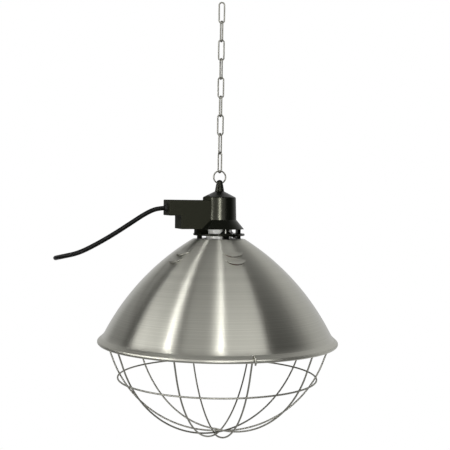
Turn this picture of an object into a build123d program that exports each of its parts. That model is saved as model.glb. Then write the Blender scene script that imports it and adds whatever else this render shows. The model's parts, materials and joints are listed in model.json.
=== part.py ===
import math
import os

from build123d import *

os.makedirs("parts", exist_ok=True)

# Millimetres, +Z up. The origin is the top of the top link's loop, where the lamp hangs on its hook.

# Chain
LINK_COUNT = 9
LINK_WIRE = 2.2
LINK_PITCH = 27.4
LINK_WIDTH = 9.9
LINK_GAP = 0.3
ODD_LINK_TURN = -18.0
EVEN_LINK_TURN = 93.0
EIGHTH_LINK_TURN = 45.0
LAST_LINK_TURN = -72.0
RING_WIRE = 2.2
RING_RADIUS = 9.15

# Cap with its hanging lug and terminal box
LUG_HOLE = 6.0
LUG_ROOF = 2.3
LUG_TOP_WIDTH = 9.6
LUG_BASE_WIDTH = 13.8
LUG_DROP = 11.6
SHOULDER_DROP = 19.8
SHOULDER_RADIUS = 24.2
BARREL_DROP = 52.9
BARREL_RADIUS = 25.2
SKIRT_DROP = 66.4
SKIRT_RADIUS = 36.6
CAP_WALL = 2.6
BOX_LENGTH = 80.0
BOX_STEP = 17.5
BOX_WIDTH = 35.0
BOX_TOP_DROP = 24.6
BOX_STEP_DROP = 47.2
BOX_WALL = 2.2
BOX_ROUND = 1.2
COVER_END = 40.0
COVER_GAP = 0.25
CLAMP_INSET = 17.0
GLAND_DROP = 36.5
GLAND_DIAMETER = 13.0

# Vent ring between cap and shade
VENT_GAP = 6.6
FLANGE_THICK = 3.0
FOOT_HEIGHT = 4.8
FLANGE_RADIUS = 37.6
FLANGE_BORE = 40.6
POST_CIRCLE = 29.7
POST_WIDTH = 8.4
POST_DEPTH = 5.2
EARTH_BLOCK = 14.0
GUSSET_WIDTH = 19.0
GUSSET_HEIGHT = 4.2
SCREW = 4.0
SCREW_CLEARANCE = 0.4

# Shade
RIM_DIAMETER = 350.0
SHEET = 1.0
BEAD_RADIUS = 3.0
BEAD_DROP = 149.0
CROWN_CORNER = 36.3
WALL_END_ANGLE = 27.3
LIP_ANGLE = 48.0
LIP_RUN = 7.2
LIP_BEND = 18.0
CROWN_BEND = 5.0
CROWN_HOLE = 42.0
LOUVRE_WIDTH = 30.0
LOUVRE_SAG = 11.5
LOUVRE_LIFT = 3.4
LOUVRE_UPPER = 62.0
LOUVRE_CROSS = 72.0
LOUVRE_STEP = 12.3

# Lamp holder and bulb
HOLDER_RADIUS = 19.0
HOLDER_BORE = 28.8
HOLDER_TOP_DROP = 40.2
HOLDER_FLOOR = 16.0
HOLDER_OVERHANG = 2.4
SHELL_INNER = 27.4
SHELL_THICK = 0.5
BULB_DIAMETER = 125.0
BULB_LENGTH = 171.0
THREAD_DIAMETER = 26.3
THREAD_ROOT = 24.4
THREAD_PITCH = 3.6
CAP_SHEET = 0.6
GLASS = 1.0

# Wire guard
GUARD_WIRE = 2.4
GUARD_INSET = 6.8
GUARD_RISE = 30.8
GUARD_MIDDLE_DROP = 52.0
ARCH_COUNT = 5
ARCH_GAP = 0.05
GUARD_TURN = -2.5
CATCH_GAP = 0.25
HOOK_RADIUS = 6.6
HOOK_END = -40.0
HOOK_CLEARANCE = 0.5

# Cord, coil and plug
CORD = 6.6
COIL_PITCH = 8.4
COIL_LAYER = 7.2
COIL_RADIUS = 39.0
COIL_SLOPE_RADIUS = 104.0
COIL_AZIMUTH = 24.0
COIL_LIFT = 4.0
LOOP_RUN = 24.0
LOOP_FALL = 0.2
LOOP_SIDES = 6
VIEW_POINT = (-418.2, -1249.9, -285.1)
PLUG_RADIUS = 18.0
PLUG_LENGTH = 34.0
PLUG_WALL = 4.0
PLUG_MOUTH = 3.0
PIN_DIAMETER = 4.8
PIN_LENGTH = 19.0
PIN_SPACING = 19.0
PIN_ROOT = 8.0
PIN_NOSE = 2.0


def save(shape, node):
    export_step(shape, f"parts/{node}.step")


def revolved(*edges):
    return revolve(Plane.XZ * make_face(Curve() + list(edges)), Axis.Z)


def turned(points):
    return revolve(Plane.XZ * make_face(Polyline(*points, close=True)), Axis.Z)


def upright(x, y, low, high, radius):
    return Pos(x, y, (low + high) / 2) * Cylinder(radius, high - low)


def block(x, y, z):
    size = (x[1] - x[0], y[1] - y[0], z[1] - z[0])
    return Pos((x[0] + x[1]) / 2, (y[0] + y[1]) / 2, (z[0] + z[1]) / 2) * Box(*size)


def swept(path, diameter):
    return sweep(Plane(path @ 0, z_dir=path % 0) * Circle(diameter / 2), path=path)


def bend_radii(points):
    radii = []
    for before, here, after in zip(points, points[1:], points[2:]):
        first = Vector(here) - Vector(before)
        second = Vector(after) - Vector(here)
        half_turn = math.radians(first.get_angle(second)) / 2
        radii.append(0.45 * min(first.length, second.length) / math.tan(half_turn))
    return radii


def tube(points, diameter):
    return swept(FilletPolyline(*points, radius=bend_radii(points)), diameter)


# Heights, from the top of the chain down
LINK_INNER = LINK_PITCH + LINK_GAP
LAST_BOW_Z = -LINK_COUNT * LINK_PITCH - LINK_GAP - LINK_WIRE / 2
RING_TOP_Z = LAST_BOW_Z + (LINK_WIRE + RING_WIRE) / 2 + LINK_GAP
EYE_Z = RING_TOP_Z - 2 * RING_RADIUS
LUG_TOP_Z = EYE_Z + LUG_HOLE / 2 + LUG_ROOF
LUG_BASE_Z = EYE_Z - LUG_DROP
SHOULDER_Z = EYE_Z - SHOULDER_DROP
BARREL_Z = EYE_Z - BARREL_DROP
SKIRT_Z = EYE_Z - SKIRT_DROP
FLANGE_Z = SKIRT_Z - VENT_GAP
CROWN_Z = FLANGE_Z - FLANGE_THICK - FOOT_HEIGHT
BEAD_Z = CROWN_Z - BEAD_DROP
RIM_RADIUS = RIM_DIAMETER / 2
BEAD_CIRCLE = RIM_RADIUS - BEAD_RADIUS

# Chain links, each a closed loop of round wire turned against its neighbours
def link(number):
    half = (LINK_WIDTH - LINK_WIRE) / 2
    high = LINK_WIRE / 2 - half
    low = -LINK_INNER - LINK_WIRE / 2 + half
    right = Line((half, low), (half, high))
    top = ThreePointArc((half, high), (0, high + half), (-half, high))
    left = Line((-half, high), (-half, low))
    bottom = ThreePointArc((-half, low), (0, low - half), (half, low))
    path = Plane.XZ * Wire([right, top, left, bottom])
    if number == LINK_COUNT:
        turn = LAST_LINK_TURN
    elif number == LINK_COUNT - 1:
        turn = EIGHTH_LINK_TURN
    else:
        turn = ODD_LINK_TURN if number % 2 else EVEN_LINK_TURN
    start = Plane((half, 0, low), z_dir=(0, 0, 1)) * Circle(LINK_WIRE / 2)
    return Pos(0, 0, (1 - number) * LINK_PITCH) * Rot(0, 0, turn) * sweep(start, path=path)


for number in range(1, LINK_COUNT + 1):
    save(link(number), f"chain_link_{number}")
ring = Pos(0, 0, RING_TOP_Z - RING_RADIUS) * Rot(90, 0, 0) * Torus(RING_RADIUS, RING_WIRE / 2)
save(ring, "hanging_ring")

# Cap: lug, cone, barrel and skirt turned as one, with the terminal box moulded on its left side
lug_round = LUG_TOP_WIDTH / 2
lug_neck_z = LUG_TOP_Z - lug_round
cap_outer = revolved(
    Line((0, SKIRT_Z), (SKIRT_RADIUS, SKIRT_Z)),
    Line((SKIRT_RADIUS, SKIRT_Z), (BARREL_RADIUS, BARREL_Z)),
    Line((BARREL_RADIUS, BARREL_Z), (SHOULDER_RADIUS, SHOULDER_Z - 1)),
    Line((SHOULDER_RADIUS, SHOULDER_Z - 1), (SHOULDER_RADIUS - 1, SHOULDER_Z)),
    Line((SHOULDER_RADIUS - 1, SHOULDER_Z), (LUG_BASE_WIDTH / 2, LUG_BASE_Z)),
    Line((LUG_BASE_WIDTH / 2, LUG_BASE_Z), (lug_round, lug_neck_z)),
    ThreePointArc(
        (lug_round, lug_neck_z),
        (lug_round * math.sin(0.7), lug_neck_z + lug_round * math.cos(0.7)),
        (0, LUG_TOP_Z),
    ),
    Line((0, LUG_TOP_Z), (0, SKIRT_Z)),
)
ceiling_z = SHOULDER_Z - CAP_WALL - 1
cap_room = turned(
    [
        (0, SKIRT_Z - 1),
        (SKIRT_RADIUS - CAP_WALL + 1, SKIRT_Z - 1),
        (SKIRT_RADIUS - CAP_WALL, SKIRT_Z),
        (BARREL_RADIUS - CAP_WALL, BARREL_Z - 1),
        (SHOULDER_RADIUS - CAP_WALL, ceiling_z),
        (0, ceiling_z),
    ]
)
BOX_TOP_Z = EYE_Z - BOX_TOP_DROP
BOX_STEP_Z = EYE_Z - BOX_STEP_DROP
BOX_LOW_Z = SKIRT_Z
BOX_LOW_LENGTH = BOX_LENGTH - BOX_STEP
GLAND_Z = EYE_Z - GLAND_DROP
half_box = BOX_WIDTH / 2


def box_outline(inset, right):
    # Side view of the stepped box, drawn in by its wall
    outline = Polyline(
        (-BOX_LENGTH + inset, BOX_TOP_Z - inset),
        (right, BOX_TOP_Z - inset),
        (right, BOX_LOW_Z + inset),
        (-BOX_LOW_LENGTH + inset, BOX_LOW_Z + inset),
        (-BOX_LOW_LENGTH + inset, BOX_STEP_Z + inset),
        (-BOX_LENGTH + inset, BOX_STEP_Z + inset),
        close=True,
    )
    return make_face(outline)


def box_slab(inset, right, front, back):
    # Extruded across the box, from front to back along Y
    return extrude(Plane.XZ.offset(-back) * box_outline(inset, right), back - front)


box_outer = box_slab(0, 0, -half_box, half_box)
box_edges = box_outer.edges().filter_by(lambda e: e.center().X < -BOX_LOW_LENGTH / 2)
box_outer = fillet(box_edges, BOX_ROUND)
cavity_end = -(BARREL_RADIUS + 1.3)
box_room = box_slab(BOX_WALL, -COVER_END, -half_box + BOX_WALL, half_box + 1)
side_room = box_slab(BOX_WALL, cavity_end, -half_box + BOX_WALL, half_box - BOX_WALL - 1.5)

# Bosses left standing in the cap: four for the shade's screws and two for the lamp holder's
BOSS = POST_WIDTH / 2
HOLDER_TOP_Z = EYE_Z - HOLDER_TOP_DROP
holder_screw_y = 10.6
for angle in (0, 90, 180, 270):
    boss_top = SKIRT_Z + BOX_WALL if angle == 180 else BARREL_Z + 2
    boss = upright(POST_CIRCLE, 0, SKIRT_Z - 2, boss_top, BOSS)
    boss += block((POST_CIRCLE, POST_CIRCLE + 9), (-BOSS, BOSS), (SKIRT_Z - 2, boss_top))
    cap_room -= Rot(0, 0, angle) * boss
for side in (-1, 1):
    cap_room -= upright(0, side * holder_screw_y, HOLDER_TOP_Z, ceiling_z + 1, BOSS)

# Pillars left standing in the box, for its cover and for the cord clamp
COVER_SCREW = 3.0
CLAMP_SCREW = 2.5
cover_spots = [(-BOX_LENGTH + 9, BOX_TOP_Z - 5.1), (-BOX_LOW_LENGTH + 6.5, BOX_LOW_Z + 6.5)]
clamp_x = -BOX_LENGTH + CLAMP_INSET
clamp_reach = CORD / 2 + 2.4
clamp_spots = [(clamp_x, GLAND_Z + clamp_reach), (clamp_x, GLAND_Z - clamp_reach)]
front_y = -half_box + BOX_WALL
cover_y = half_box - BOX_WALL


def along_y(x, z, near, far, radius):
    return Pos(x, (near + far) / 2, z) * Rot(90, 0, 0) * Cylinder(radius, far - near)


room = box_room + side_room
for x, z in cover_spots:
    room -= along_y(x, z, front_y - 1, cover_y, COVER_SCREW / 2 + 1.7)
for x, z in clamp_spots:
    room -= along_y(x, z, front_y - 1, CORD / 2 - 0.6, CLAMP_SCREW / 2 + 0.95)

# Holes for the leads, the gland, the hanging ring and every screw
lead_hole = block((cavity_end - 1, -BARREL_RADIUS + 6), (-13, -3), (GLAND_Z - 6, GLAND_Z + 8))
gland_hole = Pos(-BOX_LENGTH, 0, GLAND_Z) * Rot(0, 90, 0) * Cylinder(GLAND_DIAMETER / 2, 4 * BOX_WALL)
eye_hole = Pos(0, 0, EYE_Z) * Rot(0, 90, 0) * Cylinder(LUG_HOLE / 2, 2 * LUG_BASE_WIDTH)
housing = cap_outer + box_outer
for tool in (cap_room, room, lead_hole, gland_hole, eye_hole):
    housing -= tool
for angle in (0, 90, 180, 270):
    depth = 5.6 if angle != 180 else 12
    pilot = upright(POST_CIRCLE, 0, SKIRT_Z - 1, SKIRT_Z + depth, SCREW / 2 + 0.05)
    housing -= Rot(0, 0, angle) * pilot
for side in (-1, 1):
    housing -= upright(0, side * holder_screw_y, HOLDER_TOP_Z - 1, ceiling_z - 3, 1.8)
for x, z in cover_spots:
    housing -= along_y(x, z, cover_y - 12, cover_y + 1, COVER_SCREW / 2 + 0.05)
for x, z in clamp_spots:
    housing -= along_y(x, z, -8, CORD / 2, CLAMP_SCREW / 2 + 0.05)
save(housing, "cap_housing")

# Cover of the box, let into its open back, and two screws
cover = box_slab(BOX_WALL + COVER_GAP, -COVER_END - COVER_GAP, cover_y, half_box)
for x, z in cover_spots:
    cover -= along_y(x, z, cover_y - 1, half_box + 1, COVER_SCREW / 2 + 0.2)
save(cover, "box_cover")
for number, (x, z) in enumerate(cover_spots, 1):
    screw = along_y(x, z, cover_y - 10, half_box, COVER_SCREW / 2)
    screw += along_y(x, z, half_box, half_box + 2, 2.8)
    screw -= Pos(x, half_box + 2, z) * Box(0.8, 1.6, 7)
    save(screw, f"cover_screw_{number}")

# Rubber gland in the end of the box, and the clamp bar that holds the cord inside it
gland_face = -BOX_LENGTH - 0.4
gland_turned = turned(
    [
        (CORD / 2 + 0.15, -6.0),
        (GLAND_DIAMETER / 2 + 1.3, -6.0),
        (GLAND_DIAMETER / 2 + 1.3, -BOX_WALL - 0.6),
        (GLAND_DIAMETER / 2 - 0.1, -BOX_WALL - 0.6),
        (GLAND_DIAMETER / 2 - 0.1, 0),
        (CORD / 2 + 1.8, 3.0),
        (CORD / 2 + 0.15, 3.0),
    ]
)
gland = Pos(gland_face, 0, GLAND_Z) * Rot(0, -90, 0) * gland_turned
save(gland, "cord_gland")
clamp_y = CORD / 2 + 0.1
clamp_half = clamp_reach + CLAMP_SCREW
clamp = block(
    (clamp_x - 3.2, clamp_x + 3.2),
    (clamp_y, clamp_y + 2.6),
    (GLAND_Z - clamp_half, GLAND_Z + clamp_half),
)
for x, z in clamp_spots:
    clamp -= along_y(x, z, clamp_y - 1, clamp_y + 4, 1.5)
save(clamp, "cord_clamp")
for number, (x, z) in enumerate(clamp_spots, 1):
    screw = along_y(x, z, -6, clamp_y + 2.6, CLAMP_SCREW / 2)
    screw += along_y(x, z, clamp_y + 2.6, clamp_y + 4.4, 2.4)
    screw -= Pos(x, clamp_y + 4.4, z) * Box(6, 1.4, 0.7)
    save(screw, f"clamp_screw_{number}")

# Three-way terminal block on the front wall of the box, and its screws
WAY = 6.4
CORE = 2.2
BLOCK_LENGTH = 15.0
CORE_SHARE = 0.55
cord_end_x = clamp_x + 4.5
spare_room = cavity_end - cord_end_x - BLOCK_LENGTH
block_left = cord_end_x + CORE_SHARE * spare_room
block_right = block_left + BLOCK_LENGTH
way_y = front_y + 10.6
block_face = way_y + 4.8
terminals = block(
    (block_left, block_right),
    (front_y, block_face),
    (GLAND_Z - 1.5 * WAY, GLAND_Z + 1.5 * WAY),
)
for way in (-1, 0, 1):
    z = GLAND_Z + way * WAY
    terminals -= Pos((block_left + block_right) / 2, way_y, z) * Rot(0, 90, 0) * Cylinder(1.7, 20)
    for side in (-1, 1):
        x = (block_left + block_right) / 2 + side * 4.2
        terminals -= along_y(x, z, way_y, block_face + 1, 1.6)
save(terminals, "terminal_block")
heads = []
for way in (-1, 0, 1):
    for side in (-1, 1):
        x = (block_left + block_right) / 2 + side * 4.2
        heads.append(along_y(x, GLAND_Z + way * WAY, way_y + CORE / 2 + 0.1, block_face - 0.8, 1.45))
save(Compound(heads), "terminal_screws")

# Porcelain lamp holder, hung from the cap's ceiling by two screws
HOLDER_LOW_Z = CROWN_Z - HOLDER_OVERHANG
HOLDER_FLOOR_Z = HOLDER_TOP_Z - HOLDER_FLOOR
holder = turned(
    [
        (0, HOLDER_TOP_Z),
        (HOLDER_RADIUS - 3, HOLDER_TOP_Z),
        (HOLDER_RADIUS - 3, HOLDER_TOP_Z - 5),
        (HOLDER_RADIUS, HOLDER_TOP_Z - 8),
        (HOLDER_RADIUS, HOLDER_LOW_Z + 1.2),
        (HOLDER_RADIUS - 1.2, HOLDER_LOW_Z),
        (HOLDER_BORE / 2, HOLDER_LOW_Z),
        (HOLDER_BORE / 2, HOLDER_FLOOR_Z),
        (0, HOLDER_FLOOR_Z),
    ]
)
for side in (-1, 1):
    holder -= upright(0, side * holder_screw_y, HOLDER_FLOOR_Z - 1, HOLDER_TOP_Z + 1, 1.95)
lead_x = 9.0
for side in (-1, 1):
    holder -= upright(side * lead_x, 0, HOLDER_TOP_Z - 6, HOLDER_TOP_Z + 1, CORE)
save(holder, "lamp_holder")
for number, side in enumerate((-1, 1), 1):
    screw = upright(0, side * holder_screw_y, HOLDER_FLOOR_Z, HOLDER_TOP_Z + 8, 1.75)
    screw += upright(0, side * holder_screw_y, HOLDER_FLOOR_Z - 2.2, HOLDER_FLOOR_Z, 3.1)
    screw -= Pos(0, side * holder_screw_y, HOLDER_FLOOR_Z - 2.2) * Box(8, 0.8, 1.6)
    save(screw, f"holder_screw_{number}")
shell = turned(
    [
        (SHELL_INNER / 2, HOLDER_FLOOR_Z - 3.2),
        (SHELL_INNER / 2 + SHELL_THICK, HOLDER_FLOOR_Z - 3.2),
        (SHELL_INNER / 2 + SHELL_THICK, HOLDER_LOW_Z + 1.5),
        (SHELL_INNER / 2, HOLDER_LOW_Z + 1.5),
    ]
)
save(shell, "holder_shell")
tongue = Polyline(
    (7.5, 0),
    (2.5, 0),
    (-1.5, -2.6),
    (-4, -1.6),
    (-4, -1.0),
    (-1.5, -2.0),
    (2.3, 0.5),
    (7.5, 0.5),
    close=True,
)
contact = Pos(0, 0, HOLDER_FLOOR_Z - 0.5) * extrude(Plane.XZ.offset(-3) * make_face(tongue), 6)
save(contact, "centre_contact")

# Leads: three cores from the cord to the terminals, two on to the lamp holder, and the earth
core_runs = []
for way in (-1, 0, 1):
    z = GLAND_Z + way * WAY
    start = (cord_end_x, 0, GLAND_Z + 1.1 * way)
    entry = (block_left - 1, way_y, z)
    bend = Spline(start, entry, tangents=((1, 0, 0), (1, 0, 0)))
    core_runs.append(swept(Wire([bend, Line(entry, (block_left + 6, way_y, z))]), CORE))
save(Compound(core_runs), "cord_cores")


def lead(way, target_x, rise):
    z = GLAND_Z + way * WAY
    leave = (block_right + 0.5, way_y, z)
    gate = (-BARREL_RADIUS + 1, -8, GLAND_Z + rise)
    enter = (target_x, 0, HOLDER_TOP_Z + 0.5)
    bend = Spline(leave, gate, enter, tangents=((1, 0, 0), (0, 0, -1)))
    first = Line((block_right - 6, way_y, z), leave)
    last = Line(enter, (target_x, 0, HOLDER_TOP_Z - 5))
    return swept(Wire([first, bend, last]), CORE)


save(lead(1, -lead_x, 1.6), "lead_live")
save(lead(0, lead_x, -1.6), "lead_neutral")

# Vent ring: a thin flange carried on four posts, with feet that stand on the shade
flange = Pos(0, 0, FLANGE_Z - FLANGE_THICK / 2) * Cylinder(FLANGE_RADIUS, FLANGE_THICK)
vent = fillet(flange.edges(), 0.9)
gusset = Polyline(
    (-GUSSET_WIDTH / 2, 0),
    (GUSSET_WIDTH / 2, 0),
    (POST_WIDTH / 2, GUSSET_HEIGHT),
    (-POST_WIDTH / 2, GUSSET_HEIGHT),
    close=True,
)
web = Pos(POST_CIRCLE, 0, FLANGE_Z - 0.2) * (Plane.YZ * make_face(gusset))
posts = []
for angle in (0, 90, 180, 270):
    shaft = block(
        (POST_CIRCLE - POST_DEPTH / 2, POST_CIRCLE + POST_DEPTH / 2),
        (-POST_WIDTH / 2, POST_WIDTH / 2),
        (CROWN_Z, SKIRT_Z),
    )
    posts.append(Rot(0, 0, angle) * shaft)
    posts.append(Rot(0, 0, angle) * extrude(web, 1.2, both=True))
# Under the box the post widens to a block that carries the earth screw
earth_block = block(
    (-FLANGE_RADIUS, 0), (-EARTH_BLOCK / 2, EARTH_BLOCK / 2), (FLANGE_Z - FLANGE_THICK / 2, SKIRT_Z)
)
posts.append(earth_block & Pos(0, 0, FLANGE_Z) * Cylinder(FLANGE_RADIUS - 1, 4 * VENT_GAP))
vent += posts
vent -= Pos(0, 0, FLANGE_Z) * Cylinder(FLANGE_BORE / 2, 4 * VENT_GAP)
for angle in (0, 90, 180, 270):
    hole = upright(POST_CIRCLE, 0, CROWN_Z - 1, SKIRT_Z + 1, (SCREW + SCREW_CLEARANCE) / 2)
    vent -= Rot(0, 0, angle) * hole
    slot = block((POST_CIRCLE, POST_CIRCLE + POST_DEPTH), (-1.4, 1.4), (FLANGE_Z + 0.6, SKIRT_Z + 1))
    vent -= Rot(0, 0, angle) * slot
save(vent, "vent_ring")

# Shade: spun sheet, drawn as one profile of its outer face and the same profile one sheet further in
lip_along = (math.sin(math.radians(LIP_ANGLE)), -math.cos(math.radians(LIP_ANGLE)))
lip_out = (-lip_along[1], lip_along[0])
lip_end = (BEAD_CIRCLE + BEAD_RADIUS * lip_out[0], BEAD_Z + BEAD_RADIUS * lip_out[1])
lip_start = (lip_end[0] - LIP_RUN * lip_along[0], lip_end[1] - LIP_RUN * lip_along[1])
bend_centre = (lip_start[0] + LIP_BEND * lip_out[0], lip_start[1] + LIP_BEND * lip_out[1])
end_out = (math.cos(math.radians(WALL_END_ANGLE)), math.sin(math.radians(WALL_END_ANGLE)))
wall_end = (bend_centre[0] - LIP_BEND * end_out[0], bend_centre[1] - LIP_BEND * end_out[1])
corner_centre = (CROWN_CORNER, CROWN_Z - CROWN_BEND)
# The wall is the one arc that meets both the lip's bend and the crown's corner smoothly
across = (wall_end[0] - corner_centre[0], wall_end[1] - corner_centre[1])
outward = across[0] * end_out[0] + across[1] * end_out[1]
wall_arc = (across[0] ** 2 + across[1] ** 2 - CROWN_BEND**2) / (2 * (outward - CROWN_BEND))
wall_centre = (wall_end[0] - wall_arc * end_out[0], wall_end[1] - wall_arc * end_out[1])


def about(centre, radius, angle):
    return (centre[0] + radius * math.cos(angle), centre[1] + radius * math.sin(angle))


def arc(centre, radius, first, last):
    middle = (first + last) / 2
    return ThreePointArc(*(about(centre, radius, a) for a in (first, middle, last)))


def wall_angle(radius):
    return math.acos((radius - wall_centre[0]) / wall_arc)


corner_angle = math.atan2(corner_centre[1] - wall_centre[1], corner_centre[0] - wall_centre[0])
end_angle = math.radians(WALL_END_ANGLE)
lip_angle = math.atan2(lip_out[1], lip_out[0])


def sheet_face(depth):
    # Edges of the sheet's face at this depth below its outer one
    hole = CROWN_HOLE / 2
    end = (lip_end[0] - depth * lip_out[0], lip_end[1] - depth * lip_out[1])
    start = (lip_start[0] - depth * lip_out[0], lip_start[1] - depth * lip_out[1])
    return [
        Line((hole, CROWN_Z - depth), (CROWN_CORNER, CROWN_Z - depth)),
        arc(corner_centre, CROWN_BEND - depth, math.pi / 2, corner_angle),
        arc(wall_centre, wall_arc - depth, corner_angle, end_angle),
        arc(bend_centre, LIP_BEND + depth, math.pi + end_angle, math.pi + lip_angle),
        Line(start, end),
    ]


outer, inner = sheet_face(0), sheet_face(SHEET)
shade = revolved(
    *outer,
    Line(outer[-1] @ 1, inner[-1] @ 1),
    *inner,
    Line(inner[0] @ 0, outer[0] @ 0),
)
shade += Pos(0, 0, BEAD_Z) * Torus(BEAD_CIRCLE, BEAD_RADIUS)


def louvre(radius, azimuth):
    # A flap pushed out of the wall, hinged along its straight upper edge, and the hole that it leaves
    angle = wall_angle(radius)
    out = (math.cos(angle), math.sin(angle))
    down = (out[1], -out[0])
    spot = about(wall_centre, wall_arc, angle)

    def point(along, lift):
        return (spot[0] + along * down[0] + lift * out[0], spot[1] + along * down[1] + lift * out[1])

    reach = LOUVRE_SAG + 1.5
    profile = Polyline(
        point(-1.0, -0.95 * SHEET),
        point(reach, LOUVRE_LIFT - SHEET),
        point(reach, LOUVRE_LIFT),
        point(-1.0, -0.05 * SHEET),
        close=True,
    )
    spread = math.degrees(LOUVRE_WIDTH / radius)
    strip = revolve(Rot(0, 0, -spread / 2) * (Plane.XZ * make_face(profile)), Axis.Z, spread)
    frame = Plane((spot[0], 0, spot[1]), x_dir=(0, 1, 0), z_dir=(out[0], 0, out[1]))
    half = LOUVRE_WIDTH / 2

    def outline(grow, top):
        chord = Line((-half - grow, top), (half + grow, top))
        sag = ThreePointArc((half + grow, top), (0, -LOUVRE_SAG - grow), (-half - grow, top))
        return extrude(frame * make_face(Curve() + [chord, sag]), 8, both=True)

    turn = Rot(0, 0, azimuth)
    return turn * (strip & outline(0, 0.8)), turn * outline(-0.4, -0.4)


flaps, holes = [], []
# The pairs stand at the ends of two diameters, which cross at less than a right angle
for azimuth in (270, 270 - LOUVRE_CROSS, 90, 90 - LOUVRE_CROSS):
    for row in (0, 1):
        flap, hole = louvre(LOUVRE_UPPER + row * LOUVRE_STEP, azimuth)
        flaps.append(flap)
        holes.append(hole)
shade -= holes
shade += flaps
for side in (-1, 1):
    groove = Rot(0, 0, GUARD_TURN) * Pos(0, side * BEAD_CIRCLE, BEAD_Z) * Rot(0, 90, 0)
    shade -= groove * Torus(HOOK_RADIUS, GUARD_WIRE / 2 + HOOK_CLEARANCE)
for angle in (0, 90, 180, 270):
    hole = upright(POST_CIRCLE, 0, CROWN_Z - 3, CROWN_Z + 1, (SCREW + SCREW_CLEARANCE) / 2)
    shade -= Rot(0, 0, angle) * hole
save(shade, "shade")

# Clamp ring under the crown, and the four screws that hold shade, vent ring and cap together
CLAMP_THICK = 1.5
clamp_top = CROWN_Z - SHEET
clamp_ring = Pos(0, 0, clamp_top - CLAMP_THICK / 2) * Cylinder(CROWN_CORNER - 0.4, CLAMP_THICK)
clamp_ring -= Pos(0, 0, clamp_top) * Cylinder(CROWN_HOLE / 2 + 0.5, 4 * CLAMP_THICK)
for angle in (0, 90, 180, 270):
    hole = upright(POST_CIRCLE, 0, clamp_top - 3, clamp_top + 1, (SCREW + SCREW_CLEARANCE) / 2)
    clamp_ring -= Rot(0, 0, angle) * hole
save(clamp_ring, "clamp_ring")
head_z = clamp_top - CLAMP_THICK
for number, angle in enumerate((270, 0, 90, 180), 1):
    top = SKIRT_Z + (9.5 if angle == 180 else 4.6)
    screw = upright(POST_CIRCLE, 0, head_z, top, SCREW / 2)
    screw += upright(POST_CIRCLE, 0, head_z - 2.4, head_z, 3.6)
    screw -= Pos(POST_CIRCLE, 0, head_z - 2.4) * Box(1.0, 9, 2.2)
    save(Rot(0, 0, angle) * screw, f"shade_screw_{number}")

# Earth: the left screw stands up in the box, where a nut holds the eye of the earth lead on it
floor_z = SKIRT_Z + BOX_WALL
eye_thick = 1.0
tag_x = -POST_CIRCLE - 8
eyelet = upright(-POST_CIRCLE, 0, floor_z, floor_z + eye_thick, 3.6)
eyelet += block((tag_x - 1.5, -POST_CIRCLE), (-1.8, 1.8), (floor_z, floor_z + eye_thick))
eyelet -= upright(-POST_CIRCLE, 0, floor_z - 1, floor_z + 3, SCREW / 2 + 0.1)
earth_leave = (block_right + 0.5, way_y, GLAND_Z - WAY)
earth_bend = Spline(
    earth_leave,
    (tag_x + 3.5, way_y + 2, floor_z + 10),
    (tag_x, 0, floor_z + eye_thick / 2),
    tangents=((1, 0, 0), (0, 0, -1)),
)
earth_first = Line((block_right - 6, way_y, GLAND_Z - WAY), earth_leave)
earth = eyelet + swept(Wire([earth_first, earth_bend]), CORE)
earth -= upright(-POST_CIRCLE, 0, floor_z - 1, floor_z + 12, SCREW / 2 + 0.1)
nut_low = floor_z + eye_thick
nut_top = nut_low + 3.2
earth -= upright(-POST_CIRCLE, 0, nut_low, nut_top + 5, 4.4)
save(earth, "lead_earth")
hexagon = Pos(-POST_CIRCLE, 0, nut_low) * RegularPolygon(3.9, 6)
nut = extrude(hexagon, 3.2) - upright(-POST_CIRCLE, 0, nut_low - 1, nut_top + 1, SCREW / 2 + 0.1)
save(nut, "earth_nut")

# Infrared bulb: tip, insulator, rolled screw cap and reflector glass
TIP_Z = HOLDER_FLOOR_Z - 3.5
CAP_TOP_Z = TIP_Z - 5.2
CAP_LOW_Z = HOLDER_LOW_Z - 4.5
save(upright(0, 0, TIP_Z - 1.6, TIP_Z, 4.8), "bulb_tip")
insulator = turned(
    [(0, TIP_Z - 1.6), (5.4, TIP_Z - 1.6), (THREAD_ROOT / 2 - 1.2, CAP_TOP_Z), (0, CAP_TOP_Z)]
)
save(insulator, "bulb_insulator")
crest, root = THREAD_DIAMETER / 2, THREAD_ROOT / 2
turns = int((CAP_TOP_Z - HOLDER_LOW_Z - 2) / THREAD_PITCH)
threads = [(root - 1.4, CAP_TOP_Z)]
for turn in range(turns):
    z = CAP_TOP_Z - 0.8 - turn * THREAD_PITCH
    threads += [(root, z), (crest, z - 0.35 * THREAD_PITCH), (crest, z - 0.65 * THREAD_PITCH)]
threads += [(root, CAP_TOP_Z - 0.8 - turns * THREAD_PITCH), (root, CAP_LOW_Z)]
threads += [(root - 2 * CAP_SHEET, CAP_LOW_Z), (root - 2 * CAP_SHEET, CAP_TOP_Z - CAP_SHEET)]
threads += [(0, CAP_TOP_Z - CAP_SHEET), (0, CAP_TOP_Z)]
save(turned(threads), "bulb_cap")
BULB_LOW_Z = TIP_Z - BULB_LENGTH
bulb_radius = BULB_DIAMETER / 2
glass_top = CAP_LOW_Z
widest_z = BULB_LOW_Z + 32
neck_z = glass_top - 20


def glass_edges(inset):
    neck = 19.0 - inset
    wide = bulb_radius - inset
    low = BULB_LOW_Z + inset
    edge = (0.8 * wide, low + 9)
    face_radius = (edge[0] ** 2 + 9**2) / 18
    face_middle = face_radius * math.sin(0.5 * math.asin(edge[0] / face_radius))
    face_low = low + face_radius - math.sqrt(face_radius**2 - face_middle**2)
    return [
        ThreePointArc((root - inset, glass_top), (neck - 1.5, glass_top - 5), (neck, neck_z)),
        TangentArc((wide, widest_z), (neck, neck_z), tangent=(0, 1)),
        TangentArc((wide, widest_z), edge, tangent=(0, -1)),
        ThreePointArc(edge, (face_middle, face_low), (0, low)),
    ]


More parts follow.
